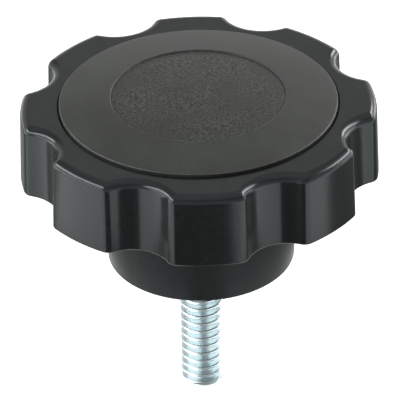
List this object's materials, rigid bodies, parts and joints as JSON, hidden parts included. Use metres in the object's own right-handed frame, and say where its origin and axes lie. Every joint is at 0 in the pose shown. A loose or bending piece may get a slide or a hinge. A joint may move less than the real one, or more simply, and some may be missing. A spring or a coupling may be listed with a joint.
{
  "type": "eight-arm knob",
  "caption": "Round hand knob with a fluted rim of rounded arms over a wide hub, a crowned cap on top and a threaded steel stud below, for clamping by hand.",
  "frame": {"origin": "on the knob's axis at the hub's seating face, where the stud comes out", "axes": "+Z along the axis from the hub to the cap, the stud points along -Z, one arm points along -Y"},
  "size_m": [0.0508, 0.0508, 0.0484],
  "materials": {
    "body_plastic": "black moulded plastic, satin",
    "cap_plastic": "black moulded plastic, satin, with a fine spark-eroded grain in the panel",
    "zinc_plated_steel": "bright zinc plate with a bluish tint"
  },
  "bodies": {
    "root": {"knob_body": "body_plastic", "top_cap": "cap_plastic", "stud_screw": "zinc_plated_steel"}
  },
  "joints": []
}
